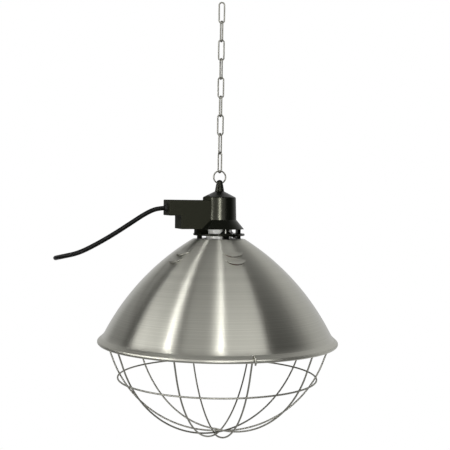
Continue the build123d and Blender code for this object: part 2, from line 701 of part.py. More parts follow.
outside, inside = glass_edges(0), glass_edges(GLASS)
glass = revolved(
    *outside,
    Line((0, BULB_LOW_Z), (0, BULB_LOW_Z + GLASS)),
    *inside,
    Line((root - GLASS, glass_top), (root, glass_top)),
)
save(glass, "bulb_glass")
coil_z = (neck_z + widest_z) / 2 + 8
filament_radius = 11.0
filament_post = 4.0
hoop = [about((0, 0), filament_radius, math.radians(a)) for a in (20, 90, 160, 230, 320)]
lead_top = CAP_TOP_Z - CAP_SHEET
filament_points = [(filament_post, 3, lead_top), (filament_post, 3, coil_z + 8)]
filament_points += [(x, y, coil_z) for x, y in hoop]
filament_points += [(filament_post, -3, coil_z + 8), (filament_post, -3, lead_top)]
filament_bends = [1.2] * (len(filament_points) - 2)
save(swept(FilletPolyline(*filament_points, radius=filament_bends), 0.9), "bulb_filament")

# Guard: five wire arches crossing at the bottom, a ring inside the rim and a ring halfway down
GUARD_ARC = BEAD_CIRCLE - GUARD_INSET
guard_centre = (0, BEAD_Z + GUARD_RISE)
bead = (BEAD_CIRCLE, BEAD_Z)
reach = math.hypot(bead[0], GUARD_RISE)
lean = math.atan2(-GUARD_RISE, bead[0]) - math.acos((GUARD_ARC + HOOK_RADIUS) / reach)
arch_turn = about(guard_centre, GUARD_ARC, lean)
hook_start = about(bead, -HOOK_RADIUS, lean)
bottom_angle = -math.pi / 2
# The leg at the catch stops just short of it
short = CATCH_GAP / math.dist(hook_start, arch_turn)
catch_start = tuple(hook + short * (turn - hook) for hook, turn in zip(hook_start, arch_turn))
hook_last = math.radians(HOOK_END)
hook_arc = arc(bead, HOOK_RADIUS, hook_last, math.pi + lean)


def arch(number):
    # The arches lie on each other where they cross, the first one lowest and the second one highest
    level = 4 - (number if number > 1 else number + ARCH_COUNT)
    low = (0, guard_centre[1] - GUARD_ARC + level * (GUARD_WIRE + ARCH_GAP))
    across = about(guard_centre, GUARD_ARC, (lean + bottom_angle) / 2)
    right = ThreePointArc(arch_turn, across, low)
    left = ThreePointArc(low, (-across[0], across[1]), (-arch_turn[0], arch_turn[1]))
    leg = Line(hook_start, arch_turn)
    leg_back = Line((-arch_turn[0], arch_turn[1]), (-catch_start[0], catch_start[1]))
    edges = [leg, right, left, leg_back]
    if number == 1:
        # The back end of this arch curls over the bead and is the hinge
        edges.insert(0, hook_arc)
    path = Plane.XZ * Wire(edges)
    turn = 90 + GUARD_TURN + 180 / ARCH_COUNT * (number - 1)
    return Rot(0, 0, turn) * swept(path, GUARD_WIRE)


for number in range(1, ARCH_COUNT + 1):
    save(arch(number), f"guard_arch_{number}")

# The front end of the first arch is a sprung hook, the catch that lets go of the bead
catch_path = Plane.XZ * Wire([hook_arc])
save(Rot(0, 0, GUARD_TURN - 90) * swept(catch_path, GUARD_WIRE), "guard_catch")
top_ring_z = BEAD_Z - 2.2
slope = math.tan(-lean)
top_ring_r = hook_start[0] - (hook_start[1] - top_ring_z) * slope - 0.93 * GUARD_WIRE
save(Pos(0, 0, top_ring_z) * Torus(top_ring_r, GUARD_WIRE / 2), "guard_top_ring")
middle_z = BEAD_Z - GUARD_MIDDLE_DROP
middle_angle = math.asin((middle_z - guard_centre[1]) / GUARD_ARC)
middle = about(guard_centre, GUARD_ARC + 0.87 * GUARD_WIRE, middle_angle)
save(Pos(0, 0, middle[1]) * Torus(middle[0], GUARD_WIRE / 2), "guard_middle_ring")

# Coil of spare cord lying on the back of the shade, in four layers that spiral in and out
coil_angle = wall_angle(COIL_SLOPE_RADIUS)
coil_out = (math.cos(coil_angle), math.sin(coil_angle))
coil_spot = about(wall_centre, wall_arc, coil_angle)
back = (math.sin(math.radians(COIL_AZIMUTH)), math.cos(math.radians(COIL_AZIMUTH)))
coil_normal = Vector(coil_out[0] * back[0], coil_out[0] * back[1], coil_out[1])
coil_left = Vector(-back[1], back[0], 0)
coil_base = Vector(coil_spot[0] * back[0], coil_spot[0] * back[1], coil_spot[1])
coil_plane = Plane(coil_base, x_dir=coil_left, z_dir=coil_normal)
half_step = COIL_PITCH / 2


def layer_height(layer):
    return COIL_LIFT + layer * COIL_LAYER


def climb(x, low, high):
    # Half a turn over the far side, rising one layer, as two quarter-turn arcs
    rise = high - low
    bulge = math.hypot(2 * x, rise) / 2
    top = (0, bulge, (low + high) / 2)
    first = TangentArc((x, 0, low), top, tangent=(0, 1, 0))
    second = TangentArc(top, (-x, 0, high), tangent=(-x, 0, rise / 2))
    return [first, second]


coil_edges = [Line((-COIL_RADIUS, CORD, layer_height(0)), (-COIL_RADIUS, 0, layer_height(0)))]
x = COIL_RADIUS
for layer in range(4):
    z = layer_height(layer)
    step = -half_step if layer % 2 == 0 else half_step
    coil_edges.append(TangentArc((-x, 0, z), (x + step, 0, z), tangent=(0, -1, 0)))
    coil_edges.append(TangentArc((x + step, 0, z), (-x - 2 * step, 0, z), tangent=(0, 1, 0)))
    x += 2 * step
    if layer < 3:
        coil_edges.append(TangentArc((-x, 0, z), (x + step, 0, z), tangent=(0, -1, 0)))
        x += step
        coil_edges += climb(x, z, layer_height(layer + 1))
coil_exit = (half_step / 2, -x - half_step / 2)
coil_edges.append(TangentArc((-x, 0, z), (*coil_exit, z), tangent=(0, -1, 0)))
coil_edges.append(Line((*coil_exit, z), (coil_exit[0] + CORD, coil_exit[1], z)))
coil_path = Wire(coil_edges)
coil = coil_plane.location * swept(coil_path, CORD)
save(coil, "cord_coil")
coil_points = [coil_path.position_at(i / 900) for i in range(901)]
coil_step = coil_path.length / 900
skip = int(60 / coil_step)
least = min((a - b).length for i, a in enumerate(coil_points) for b in coil_points[i + skip :])
print("coil length", round(coil_path.length, 1), "least gap to itself", round(least - CORD, 2))

# Tie round the bundle on its left side
tie_in = (COIL_RADIUS - 3 * half_step - CORD / 2 - 0.9, COIL_RADIUS + CORD / 2 + 0.4)
tie_up = (COIL_LIFT - CORD / 2 - 0.4, layer_height(3) + CORD / 2 + 0.4)
TIE_THICK = 1.2
TIE_WIDTH = 12.0
tie_outer = block(
    (tie_in[0] - TIE_THICK, tie_in[1] + TIE_THICK),
    (-TIE_WIDTH / 2, TIE_WIDTH / 2),
    (tie_up[0] - TIE_THICK, tie_up[1] + TIE_THICK),
)
tie_outer = fillet(tie_outer.edges().filter_by(Axis.Y), 3)
tie = tie_outer - fillet(block(tie_in, (-TIE_WIDTH, TIE_WIDTH), tie_up).edges().filter_by(Axis.Y), 1.8)
save(coil_plane.location * tie, "coil_tie")

# Cord: out of the gland to the left, round a loop, back behind its own outgoing run and down to the coil
coil_start = coil_plane.from_local_coords(Vector(-COIL_RADIUS, CORD, layer_height(0)))
down_slope = coil_plane.from_local_coords(Vector(0, -1, 0)) - coil_base
gate = -BOX_LENGTH
inside_x = gate + 5
inside_run = Pos((inside_x + cord_end_x) / 2, 0, GLAND_Z) * Rot(0, 90, 0)
save(inside_run * Cylinder(CORD / 2, cord_end_x - inside_x), "cord_inside")
outgoing = [
    Vector(gate - 12, 0, GLAND_Z),
    Vector(gate - 30, -1, GLAND_Z - 7.5),
    Vector(gate - 52, -3, GLAND_Z - 21.5),
    Vector(gate - 77, -4, GLAND_Z - 37.5),
    Vector(gate - 104, -4, GLAND_Z - 53),
    Vector(gate - 127, -4, GLAND_Z - 64),
]
# Seen from the view point, the loop turns straight away and the return lies behind the outgoing run
sight = outgoing[-1] - Vector(*VIEW_POINT)
forward = Vector(-1, 0, -LOOP_FALL).normalized()
route = [Vector(inside_x, 0, GLAND_Z), *outgoing]
loop_depth = 0
for side in range(1, LOOP_SIDES):
    turn = math.radians(180 / LOOP_SIDES * side)
    step = forward * math.cos(turn) + sight.normalized() * math.sin(turn)
    route.append(route[-1] + step * LOOP_RUN)
    loop_depth += LOOP_RUN * math.sin(turn)
further = 1 + loop_depth / sight.length
for spot in reversed(outgoing[:-1]):
    route.append(Vector(*VIEW_POINT) + (spot - Vector(*VIEW_POINT)) * further)
route += [
    Vector(gate + 36, loop_depth - 5, GLAND_Z - 1.5),
    Vector(gate + 62, loop_depth - 9, GLAND_Z - 7),
    Vector(gate + 88, loop_depth - 15, GLAND_Z - 17),
    Vector(gate + 112, loop_depth - 22, GLAND_Z - 31),
    Vector(gate + 136, loop_depth - 29, GLAND_Z - 52),
    coil_start - down_slope * 26,
    coil_start,
]
print("cord radii", [round(r, 1) for r in bend_radii(route)])
cord = tube(route, CORD)
save(cord, "cord_run")
cord_length = FilletPolyline(*route, radius=bend_radii(route)).length
print("cord run", round(cord_length, 1), "mm, volume", round(cord.volume / (math.pi * CORD**2 / 4), 1))
print("route", [tuple(round(v, 2) for v in tuple(p)) for p in route])

# Tail from the coil to the plug, which lies beside it on the shade
tail = [(0, 0), (20, 0), (42, -6), (62, -16)]
tail_points = []
for along, rise in tail:
    spot = coil_plane.from_local_coords(
        Vector(coil_exit[0] + CORD + along, coil_exit[1], layer_height(3) + rise)
    )
    tail_points.append(tuple(spot))
print("tail radii", [round(r, 1) for r in bend_radii(tail_points)])
tail_wire = FilletPolyline(*tail_points, radius=bend_radii(tail_points))
save(swept(tail_wire, CORD), "cord_tail")
print("tail", round(tail_wire.length, 1), [tuple(round(v, 2) for v in p) for p in tail_points])
inside_length = cord_end_x - inside_x
print("whole cord", round(inside_length + cord_length + coil_path.length + tail_wire.length, 1))

# Plug: sleeve, round hollow body with a finger waist, two pins and two earth clips
plug_at = Vector(*tail_points[-1])
plug_axis = (plug_at - Vector(*tail_points[-2])).normalized()
plug_plane = Plane(plug_at, x_dir=coil_normal.cross(plug_axis), z_dir=plug_axis)
SLEEVE = 24.0
plug_sleeve = turned(
    [
        (CORD / 2 + 0.1, -SLEEVE + 14),
        (CORD / 2 + 1.6, -SLEEVE + 14),
        (6.4, 12),
        (CORD / 2 + 0.1, 12),
    ]
)
plug_back, plug_face = 12.0, 12.0 + PLUG_LENGTH
plug_body = turned(
    [
        (0, plug_back),
        (10.0, plug_back),
        (11.5, plug_back + 8),
        (PLUG_RADIUS, plug_back + 15),
        (PLUG_RADIUS, plug_face - 1),
        (PLUG_RADIUS - 1, plug_face),
        (0, plug_face),
    ]
)
hollow_end = plug_face - PIN_ROOT - 1
plug_body -= turned(
    [
        (0, plug_back),
        (PLUG_MOUTH, plug_back),
        (PLUG_MOUTH, plug_back + 4),
        (11.5 - PLUG_WALL, plug_back + 8),
        (PLUG_RADIUS - PLUG_WALL, plug_back + 15),
        (PLUG_RADIUS - PLUG_WALL, hollow_end),
        (0, hollow_end),
    ]
)
for side in (-1, 1):
    plug_body -= Pos(side * (PLUG_RADIUS + 0.2), 0, plug_face - 8) * Box(4.4, 6, 17)
pins, clips = [], []
for side in (-1, 1):
    y = side * PIN_SPACING / 2
    plug_body -= upright(0, y, plug_face - PIN_ROOT, plug_face + 1, PIN_DIAMETER / 2 - 0.5)
    pin = upright(0, y, plug_face, plug_face + PIN_LENGTH - PIN_NOSE, PIN_DIAMETER / 2)
    pin += upright(0, y, plug_face - PIN_ROOT, plug_face, PIN_DIAMETER / 2 - 0.5)
    nose = Cone(PIN_DIAMETER / 2, PIN_DIAMETER / 4, PIN_NOSE)
    pin += Pos(0, y, plug_face + PIN_LENGTH - PIN_NOSE / 2) * nose
    pins.append(pin)
    clip_x = side * (PLUG_RADIUS - 1.4)
    clips.append(Pos(clip_x, 0, plug_face - 8) * Box(1.2, 5, 15))
save(plug_plane.location * plug_sleeve, "plug_sleeve")
save(plug_plane.location * plug_body, "plug_body")
save(plug_plane.location * Compound(pins), "plug_pins")
save(plug_plane.location * Compound(clips), "plug_earth_clips")
for side in (-1, 1):
    half_pin = (PIN_LENGTH - PIN_NOSE) / 2
    spot = plug_plane.from_local_coords(Vector(0, side * PIN_SPACING / 2, plug_face + half_pin))
    print("pin", [round(v, 4) for v in tuple(spot)], [round(v, 6) for v in tuple(plug_axis)])
print("wall centre", [round(v, 2) for v in wall_centre], "crown corner", round(CROWN_CORNER, 2))
print("eye", round(EYE_Z, 3), "ring top", round(RING_TOP_Z, 3), "last bow", round(LAST_BOW_Z, 3))
print("bead", BEAD_CIRCLE, round(BEAD_Z, 3), "crown", round(CROWN_Z, 3), "bulb low", round(BULB_LOW_Z, 3))
print("guard low", round(guard_centre[1] - GUARD_ARC, 2), "middle ring", [round(v, 2) for v in middle])
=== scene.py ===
# %% [markdown]
# A hanging heat lamp, dressed around its CAD frame.
# The scene is in metres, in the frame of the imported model: +Z is up and the origin is at the top of the
# chain. Sizes of the lamp are written in millimetres. The CAD pieces stay where they are. This script gives
# them their finishes, and builds finer meshes for the wires and the cord, which are so thin that the frame's
# flat triangles would show.

# %% The frame
import json
import math

import bpy
from mathutils import Matrix, Vector


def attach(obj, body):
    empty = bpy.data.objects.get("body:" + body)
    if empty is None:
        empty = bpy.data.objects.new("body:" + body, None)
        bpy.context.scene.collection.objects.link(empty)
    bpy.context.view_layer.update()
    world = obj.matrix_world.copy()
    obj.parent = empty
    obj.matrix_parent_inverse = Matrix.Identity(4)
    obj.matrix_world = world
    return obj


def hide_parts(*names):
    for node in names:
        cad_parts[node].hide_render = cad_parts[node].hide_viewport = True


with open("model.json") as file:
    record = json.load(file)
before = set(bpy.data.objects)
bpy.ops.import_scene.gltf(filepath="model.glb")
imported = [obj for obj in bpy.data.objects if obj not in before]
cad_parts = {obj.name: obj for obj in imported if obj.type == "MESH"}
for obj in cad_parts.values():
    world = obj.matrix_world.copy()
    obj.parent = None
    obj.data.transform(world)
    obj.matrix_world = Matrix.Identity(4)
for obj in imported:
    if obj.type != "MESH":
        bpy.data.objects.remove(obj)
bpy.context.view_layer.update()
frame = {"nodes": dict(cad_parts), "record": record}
nodes = frame["nodes"]

MM = 0.001

# %% [markdown]
# Colours are written as the sRGB hex values that a paint chart or a colour picker gives. Shaders work in
# linear light, so one function turns a hex value into linear red, green and blue. Shader trees could be
# wired link by link, but that hides the idea. Here one function adds a node with its settings, and another
# sets its inputs, or links them where it is given a socket.

# %% Colour and shader helpers
def linear(hex_value):
    channels = [int(hex_value[i : i + 2], 16) / 255 for i in (1, 3, 5)]
    curve = [c / 12.92 if c <= 0.04045 else ((c + 0.055) / 1.055) ** 2.4 for c in channels]
    return (*curve, 1.0)


def feed(tree, node, **inputs):
    """Set or link inputs by name, with _ for a space, or by number, as in in_2."""
    for name, value in inputs.items():
        key = int(name[3:]) if name.startswith("in_") else name.replace("_", " ")
        if isinstance(value, bpy.types.NodeSocket):
            tree.links.new(value, node.inputs[key])
        else:
            node.inputs[key].default_value = value


def add(tree, kind, settings=None, **inputs):
    node = tree.nodes.new(kind)
    for name, value in (settings or {}).items():
        setattr(node, name, value)
    feed(tree, node, **inputs)
    return node


def finish_named(name):
    """An empty material, its tree and its surface shader."""
    material = bpy.data.materials.new(name)
    material.use_nodes = True
    tree = material.node_tree
    return material, tree, tree.nodes["Principled BSDF"]


def per_mm(size_mm):
    """Noise scale, in cells per metre, for a pattern of this size."""
    return 1000 / size_mm


print("middle grey in linear light is", round(linear("#808080")[0], 3))

# %% [markdown]
# The camera stands level with the terminal box, a little to the left of straight ahead. The photograph is
# a crop, so the lens keeps its shift instead of a tilt, which keeps the chain upright. The lamp hangs a
# fraction of a degree out of true in the picture, and the camera rolls by that much.

# %% Camera
IMAGE = 450
FOCAL_PX = 900
SENSOR = 36.0
CAMERA_AZIMUTH = math.radians(-18.5)
CAMERA_DISTANCE = 1.318
CAMERA_HEIGHT = -0.2851
CAMERA_ROLL = math.radians(0.75)
AXIS_PX = 219.4
HORIZON_PX = 198.0


def around(azimuth, distance, height):
    """A point at this azimuth from the camera's own direction, positive to the right of the view."""
    a = CAMERA_AZIMUTH + azimuth
    return Vector((distance * math.sin(a), -distance * math.cos(a), height))


camera_data = bpy.data.cameras.new("camera")
camera_data.sensor_width = SENSOR
camera_data.lens = SENSOR * FOCAL_PX / IMAGE
camera_data.shift_x = (IMAGE / 2 - AXIS_PX) / IMAGE
camera_data.shift_y = (HORIZON_PX - IMAGE / 2) / IMAGE
camera = bpy.data.objects.new("camera", camera_data)
bpy.context.scene.collection.objects.link(camera)
camera.location = around(0, CAMERA_DISTANCE, CAMERA_HEIGHT)
level_view = Matrix.Rotation(CAMERA_AZIMUTH, 4, "Z") @ Matrix.Rotation(math.pi / 2, 4, "X")
camera.rotation_euler = (level_view @ Matrix.Rotation(CAMERA_ROLL, 4, "Z")).to_euler()
bpy.context.scene.camera = camera
print("camera at", [round(v, 3) for v in camera.location], "lens", round(camera_data.lens, 1))

# %% [markdown]
# The mains cord leaves the gland to the left and sags. Its points there are listed. Then it turns
# back in a half circle, and returns on the same lines of sight from the camera, only further away, so that
# the outgoing stretch hides the returning one. Last it passes behind the cap.

# %% Free run of the cord
CORD = 6.6 * MM
CORD_START = Vector((-75, 0, -300.3)) * MM
OUTGOING = [
    (-92, 0, -300.3), (-110, -1, -307.8), (-132, -3, -321.8),
    (-157, -4, -337.8), (-184, -4, -353.3), (-207, -4, -364.3),
]
BEHIND_CAP = [(-44, -5, -301.8), (-18, -9, -307.3), (8, -15, -317.3), (32, -22, -331.3), (56, -29, -352.3)]
LOOP_RUN, LOOP_FALL, LOOP_SIDES = 24.0 * MM, 0.2, 6

outgoing = [Vector(p) * MM for p in OUTGOING]
cord_points = [CORD_START, *outgoing]
sight = outgoing[-1] - camera.location
forward = Vector((-1, 0, -LOOP_FALL)).normalized()
loop_depth = 0
for side in range(1, LOOP_SIDES):
    turn = math.pi * side / LOOP_SIDES
    step = forward * math.cos(turn) + sight.normalized() * math.sin(turn)
    cord_points.append(cord_points[-1] + step * LOOP_RUN)
    loop_depth += LOOP_RUN * math.sin(turn)
further = 1 + loop_depth / sight.length
cord_points += [camera.location + (p - camera.location) * further for p in reversed(outgoing[:-1])]
cord_points += [Vector((x, y, z)) * MM + Vector((0, loop_depth, 0)) for x, y, z in BEHIND_CAP]
print("free run of", len(cord_points), "points, turning back", round(loop_depth, 3), "m deep")

# %% [markdown]
# Spare cord is wound by hand and tied. A helix would be simpler, but a wound coil spirals in on one layer
# and out on the next. So each turn is two half turns, which step in or out by half a pitch, and the last
# half turn of a layer climbs to the next one. The coil lies on the back of the shade, so it is laid out in
# a plane that touches the round wall there.

# %% Coil of spare cord
WALL_CENTRE, WALL_ARC = (-144.44 * MM, -640.99 * MM), 347.9 * MM
COIL_RADIUS, COIL_PITCH, COIL_LAYER, COIL_LIFT = 39.0 * MM, 8.4 * MM, 7.2 * MM, 4.0 * MM
COIL_LAYERS = 4
COIL_AZIMUTH = math.radians(24.0)
COIL_SLOPE_RADIUS = 104.0 * MM
LEAD_IN = 26.0 * MM
TAIL = [(0, 0), (20, 0), (42, -6), (62, -16)]
HALF_TURN_POINTS = 12

slope = math.acos((COIL_SLOPE_RADIUS - WALL_CENTRE[0]) / WALL_ARC)
coil_back = Vector((math.sin(COIL_AZIMUTH), math.cos(COIL_AZIMUTH), 0))
coil_normal = coil_back * math.cos(slope) + Vector((0, 0, math.sin(slope)))
coil_left = Vector((-coil_back.y, coil_back.x, 0))
coil_down = coil_normal.cross(coil_left)
coil_base = coil_back * COIL_SLOPE_RADIUS + Vector((0, 0, WALL_CENTRE[1] + WALL_ARC * math.sin(slope)))


def on_coil(x, y, z):
    return coil_base + coil_left * x + coil_down * y + coil_normal * z


def half_turn(first_x, last_x, side, low, high):
    """Points of half a turn from one side of the coil to the other, without the first one."""
    middle, radius = (first_x + last_x) / 2, (last_x - first_x) / 2
    made = []
    for i in range(1, HALF_TURN_POINTS + 1):
        angle = math.pi * (i / HALF_TURN_POINTS)
        height = low + (high - low) * (1 - math.cos(angle)) / 2
        made.append((middle - radius * math.cos(angle), side * abs(radius) * math.sin(angle), height))
    return made


half_step = COIL_PITCH / 2
reach = COIL_RADIUS
turns = [(-reach, CORD + LEAD_IN, COIL_LIFT), (-reach, CORD, COIL_LIFT), (-reach, 0, COIL_LIFT)]
for layer in range(COIL_LAYERS):
    z = COIL_LIFT + layer * COIL_LAYER
    step = -half_step if layer % 2 == 0 else half_step
    turns += half_turn(-reach, reach + step, -1, z, z)
    turns += half_turn(reach + step, -reach - 2 * step, 1, z, z)
    reach += 2 * step
    if layer < COIL_LAYERS - 1:
        turns += half_turn(-reach, reach + step, -1, z, z)
        reach += step
        turns += half_turn(reach, -reach, 1, z, z + COIL_LAYER)
exit_x, exit_y = half_step / 2, -reach - half_step / 2
quarter = HALF_TURN_POINTS // 2
for i in range(1, quarter + 1):
    angle = math.pi / 2 * i / quarter
    turns.append((exit_x - (exit_x + reach) * math.cos(angle), exit_y * math.sin(angle), z))
cord_points += [on_coil(*p) for p in turns]
cord_points += [on_coil(exit_x + CORD + x * MM, exit_y, z + y * MM) for x, y in TAIL]
print("coil of", len(turns), "points in", COIL_LAYERS, "layers")

# %% [markdown]
# A cord could be a mesh swept by hand, but a curve with a round bevel stays smooth, and its length can be
# read from it. A quadratic NURBS spline runs smoothly past all the points. Each point carries the cord's
# radius and the bevel multiplies that by one, so the thickness is set in one place.

# %% Cord
cord_curve = bpy.data.curves.new("mains_cord", "CURVE")
cord_curve.dimensions = "3D"
cord_spline = cord_curve.splines.new("NURBS")
cord_spline.points.add(len(cord_points) - 1)
for point, place in zip(cord_spline.points, cord_points):
    point.co = (*place, 1)
    point.radius = CORD / 2
cord_spline.order_u = 3
cord_spline.use_endpoint_u = True
cord_spline.resolution_u = 6
cord_curve.bevel_depth = 1.0
cord_curve.bevel_resolution = 5
cord_curve.use_fill_caps = True
mains_cord = bpy.data.objects.new("mains_cord", cord_curve)
bpy.context.scene.collection.objects.link(mains_cord)
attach(mains_cord, "lamp")
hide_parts("cord_run", "cord_coil", "cord_tail")
print("cord of", len(cord_points), "points,", round(cord_spline.calc_length(), 3), "m")

# %% [markdown]
# The lamp hangs in front of plain white. A wide glowing floor, far below it, gives the same white where a
# camera looks down. It is hidden from reflections and lights nothing, so the metal keeps its contrast.

# %% Floor
FLOOR_Z, FLOOR_REACH = -1.5, 40.0
WHITE = linear("#ffffff")


def luminous(name, colour, strength):
    material = bpy.data.materials.new(name)
    material.use_nodes = True
    tree = material.node_tree
    tree.nodes.clear()
    glow = add(tree, "ShaderNodeEmission", Color=colour, Strength=strength)
    add(tree, "ShaderNodeOutputMaterial", Surface=glow.outputs[0])
    return material


floor_mesh = bpy.data.meshes.new("floor")
corners = [(x * FLOOR_REACH, y * FLOOR_REACH, FLOOR_Z) for x, y in ((-1, -1), (1, -1), (1, 1), (-1, 1))]
floor_mesh.from_pydata(corners, [], [(0, 1, 2, 3)])
floor = bpy.data.objects.new("floor", floor_mesh)
bpy.context.scene.collection.objects.link(floor)
floor_mesh.materials.append(luminous("lit_white_floor", WHITE, 1.0))
floor.visible_glossy = False
floor.visible_diffuse = False
print("floor at", FLOOR_Z, "m")

# %% [markdown]
# The room is what the metal mirrors where no light stands. It could be a picture of a studio, but soft
# fades of grey are enough: dim at the sides, brighter behind the lamp, which lights the flanks of the
# shade, with some light from above and more from below. The camera itself sees white instead.

# %% Room
SIDE_GREY, BACK_GREY, TOP_GREY, LOW_GREY = 0.07, 0.7, 0.14, 0.3
BACK_AZIMUTH = math.radians(163)
# Where each fade starts and ends, as the cosine of the angle to the bright side or to straight up
BACK_EDGE, BACK_FULL = 0.2, 0.8
TOP_EDGE, TOP_FULL = 0.2, 1.0
LOW_EDGE, LOW_FULL = -0.3, -0.9
ADD = {"operation": "ADD"}

world = bpy.data.worlds.new("studio")
bpy.context.scene.world = world
world.use_nodes = True
sky = world.node_tree
sky.nodes.clear()
toward = add(sky, "ShaderNodeTexCoord").outputs["Generated"]
back_way = tuple(around(BACK_AZIMUTH, 1, 0))
facing = add(sky, "ShaderNodeVectorMath", {"operation": "DOT_PRODUCT"}, in_0=toward, in_1=back_way)
behind = add(
    sky, "ShaderNodeMapRange", {"interpolation_type": "SMOOTHSTEP"}, Value=facing.outputs["Value"],
    From_Min=BACK_EDGE, From_Max=BACK_FULL, To_Min=SIDE_GREY, To_Max=BACK_GREY,
).outputs[0]
upward = add(sky, "ShaderNodeSeparateXYZ", Vector=toward).outputs["Z"]
above = add(
    sky, "ShaderNodeMapRange", Value=upward, From_Min=TOP_EDGE, From_Max=TOP_FULL, To_Max=TOP_GREY
).outputs[0]
below = add(
    sky, "ShaderNodeMapRange", Value=upward, From_Min=LOW_EDGE, From_Max=LOW_FULL, To_Max=LOW_GREY
).outputs[0]
level_grey = add(sky, "ShaderNodeMath", ADD, in_0=behind, in_1=above).outputs[0]
room_grey = add(sky, "ShaderNodeMath", ADD, in_0=level_grey, in_1=below).outputs[0]
seen = add(sky, "ShaderNodeLightPath").outputs["Is Camera Ray"]
room = add(sky, "ShaderNodeBackground", Color=WHITE, Strength=room_grey)
backdrop = add(sky, "ShaderNodeBackground", Color=WHITE, Strength=1.0)
wall = add(sky, "ShaderNodeMixShader", in_0=seen, in_1=room.outputs[0], in_2=backdrop.outputs[0])
add(sky, "ShaderNodeOutputWorld", Surface=wall.outputs[0])
print("room of", len(sky.nodes), "shader nodes")

# %% [markdown]
# Spun metal shows a light as a streak from crown to rim. So two tall narrow boxes draw the two bright
# streaks, a glow widens the middle one, and wide boxes give the broad light beside them. What faces the
# gaps between the boxes stays dark, and that contrast is what reads as bare metal. A weak box far to the
# left keeps the dark band there from turning black, and two that stand about level with the lamp light the
# bead of the rim and the wires.

# %% Soft boxes
AIM = Vector((0, 0, -0.38))
STRIP_DISTANCE, GLOW_DISTANCE, BOX_DISTANCE = 2.2, 2.25, 2.3


def toward_aim(azimuth, elevation, distance):
    a, e = math.radians(azimuth), math.radians(elevation)
    return around(a, distance * math.cos(e), AIM.z + distance * math.sin(e))


def panel(name, place, up, width, height, power):
    """A soft box that faces the lamp, with its height along the given direction."""
    light = bpy.data.lights.new(name, "AREA")
    light.shape = "RECTANGLE"
    light.size, light.size_y = width, height
    light.energy = power
    lamp = bpy.data.objects.new(name, light)
    bpy.context.scene.collection.objects.link(lamp)
    outward = (place - AIM).normalized()
    across = up.cross(outward).normalized()
    turn = Matrix((across, outward.cross(across), outward)).transposed().to_4x4()
    lamp.matrix_world = Matrix.Translation(place) @ turn
    lamp.visible_camera = False
    return lamp


def soft_box(name, azimuth, elevation, width, height, power, distance=BOX_DISTANCE):
    return panel(name, toward_aim(azimuth, elevation, distance), Vector((0, 0, 1)), width, height, power)


def strip(name, low, high, width, power):
    """A long narrow box between two directions, each an azimuth and an elevation."""
    foot, head = toward_aim(*low, STRIP_DISTANCE), toward_aim(*high, STRIP_DISTANCE)
    return panel(name, (foot + head) / 2, head - foot, width, (head - foot).length, power)


# A strip has two directions, a width and a power. A box has an azimuth, an elevation, a width, a height
# and a power. GLOW_DISTANCE and STRIP_DISTANCE bring two of the boxes nearer.
shade_lights = [
    strip("centre_strip", (4.5, -8), (6, 62), 0.05, 5),
    strip("left_strip", (-45, -8), (-65, 56), 0.045, 8.5),
    soft_box("centre_glow", -1, 30, 0.5, 2.4, 3.5, GLOW_DISTANCE),
    soft_box("left_box", -74.5, 19, 1.55, 0.8, 16),
    soft_box("far_left_box", -120, 19, 0.9, 0.8, 0.9),
    soft_box("left_mid_box", -25, 42, 0.9, 0.8, 3),
    soft_box("right_box", 32, 33, 1.5, 0.8, 15),
    soft_box("low_front", 1, -6, 0.2, 1.0, 10, STRIP_DISTANCE),
    soft_box("level_box", -31, 0, 2.2, 0.25, 9),
]
print(len(shade_lights), "soft boxes for the shade")

# %% [markdown]
# Polished black plastic shows little but its highlights. Four more lights reach only the cap, through light
# linking, and draw its two streaks and the soft fall beside them, which tell how round it is. Without the
# linking they would draw streaks on the shade as well.

# %% Lights of the cap
cap_only = bpy.data.collections.new("cap_only")
cap_only.objects.link(nodes["cap_housing"])
cap_lights = [
    strip("cap_strip", (4, -8), (4, 8), 0.06, 44),
    soft_box("cap_left_box", -52, 0, 0.3, 0.4, 14),
    soft_box("cap_left_glow", -30, 0, 1.9, 0.4, 1.5),
    soft_box("cap_right_glow", 28, 0, 1.1, 0.4, 5),
]
for cap_light in cap_lights:
    cap_light.light_linking.receiver_collection = cap_only
print(len(cap_lights), "lights for the cap")

# %% [markdown]
# The shade is aluminium sheet, pressed over a turning form on a lathe. The tool leaves rings of fine
# lines, which draw each light out into a streak from crown to rim. That is anisotropy, with its tangent
# running round the axis. A picture of brushed metal could be wrapped round the shade, but noise on the
# distance from the axis has no seam. The lines of a real shade are too fine to show here, so they are drawn
# 0.9 mm wide. Broader rings and faint dents keep the streaks from being too even. On the bead, lights are
# drawn out less.

# %% Spun aluminium
LINE_MM, RING_MM, DENT_MM = 0.9, 7.0, 5.0
DENT_DEPTH = 0.012 * MM
# At this distance from the axis a dent is as long as it is wide, and further out it is longer
DENT_RADIUS = 50 * MM
BEAD_INSIDE, BEAD_FADE = 168.6 * MM, 1 * MM
BROAD_SHARE = 0.3
NOISE_LOW, NOISE_HIGH = 0.3, 0.7
QUARTER_TURN = 0.25
MULTIPLY = {"operation": "MULTIPLY"}
# A Mix node has its two values at inputs 2 and 3, and its two colours at 6 and 7
MIX_COLOURS, MIX_VALUES = {"data_type": "RGBA"}, {"data_type": "FLOAT"}


